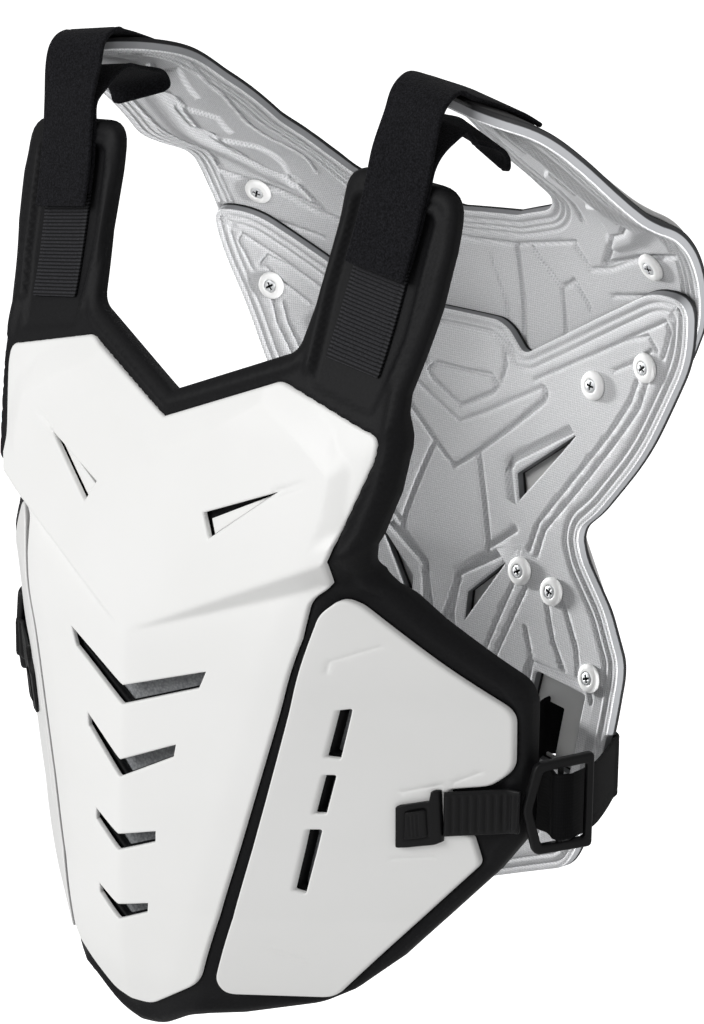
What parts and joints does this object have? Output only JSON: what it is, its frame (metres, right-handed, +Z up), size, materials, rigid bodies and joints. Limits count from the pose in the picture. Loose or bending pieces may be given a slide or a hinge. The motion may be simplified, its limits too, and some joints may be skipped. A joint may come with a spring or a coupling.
{
  "type": "protective vest",
  "caption": "Worn protective vest: white moulded chest and back plates on padded liners, joined by fabric shoulder straps and buckled side straps.",
  "frame": {"origin": "midway between the shoulders, at the height where the shoulder straps rest on them", "axes": "+Z up, the wearer looks along -Y, +X towards the wearer's left side"},
  "size_m": [0.3988, 0.3062, 0.5012],
  "materials": {
    "white_plate": "satin white moulded plastic",
    "black_foam": "matt black moulded foam with bound edges",
    "grey_lining": "matt grey mesh lining",
    "silver_foam": "silver grey laminated lining over foam",
    "strap_fabric": "black woven webbing and loop fabric",
    "hook_fabric": "ribbed hook tape",
    "black_plastic": "moulded black plastic",
    "white_cap": "white moulded washers",
    "screw_steel": "small plated screw heads"
  },
  "bodies": {
    "root": {"front_liner": "black_foam", "front_lining": "grey_lining", "front_centre_plate": "white_plate", "front_side_plate_left": "white_plate", "vent_insert_left": "white_plate", "hook_patch_left": "hook_fabric", "front_side_plate_right": "white_plate", "vent_insert_right": "white_plate", "hook_patch_right": "hook_fabric", "back_panel": "silver_foam", "back_yoke": "silver_foam", "back_upper_plate": "white_plate", "back_lower_plate": "white_plate", "shoulder_strap_left": "strap_fabric", "shoulder_tongue_left": "strap_fabric", "buckle_frame_left": "black_plastic", "ladder_strap_left": "black_plastic", "strap_catch_left": "black_plastic", "side_strap_left": "strap_fabric", "shoulder_strap_right": "strap_fabric", "shoulder_tongue_right": "strap_fabric", "buckle_frame_right": "black_plastic", "ladder_strap_right": "black_plastic", "strap_catch_right": "black_plastic", "side_strap_right": "strap_fabric", "screw_cap_yoke_left": "white_cap", "screw_yoke_left": "screw_steel", "screw_cap_yoke_right": "white_cap", "screw_yoke_right": "screw_steel", "screw_cap_wing_outer_left": "white_cap", "screw_wing_outer_left": "screw_steel", "screw_cap_wing_outer_right": "white_cap", "screw_wing_outer_right": "screw_steel", "screw_cap_wing_inner_left": "white_cap", "screw_wing_inner_left": "screw_steel", "screw_cap_wing_inner_right": "white_cap", "screw_wing_inner_right": "screw_steel", "screw_cap_mid_inner_left": "white_cap", "screw_mid_inner_left": "screw_steel", "screw_cap_mid_inner_right": "white_cap", "screw_mid_inner_right": "screw_steel", "screw_cap_mid_outer_left": "white_cap", "screw_mid_outer_left": "screw_steel", "screw_cap_mid_outer_right": "white_cap", "screw_mid_outer_right": "screw_steel", "screw_cap_lower_left": "white_cap", "screw_lower_left": "screw_steel", "screw_cap_lower_right": "white_cap", "screw_lower_right": "screw_steel"}
  },
  "joints": []
}
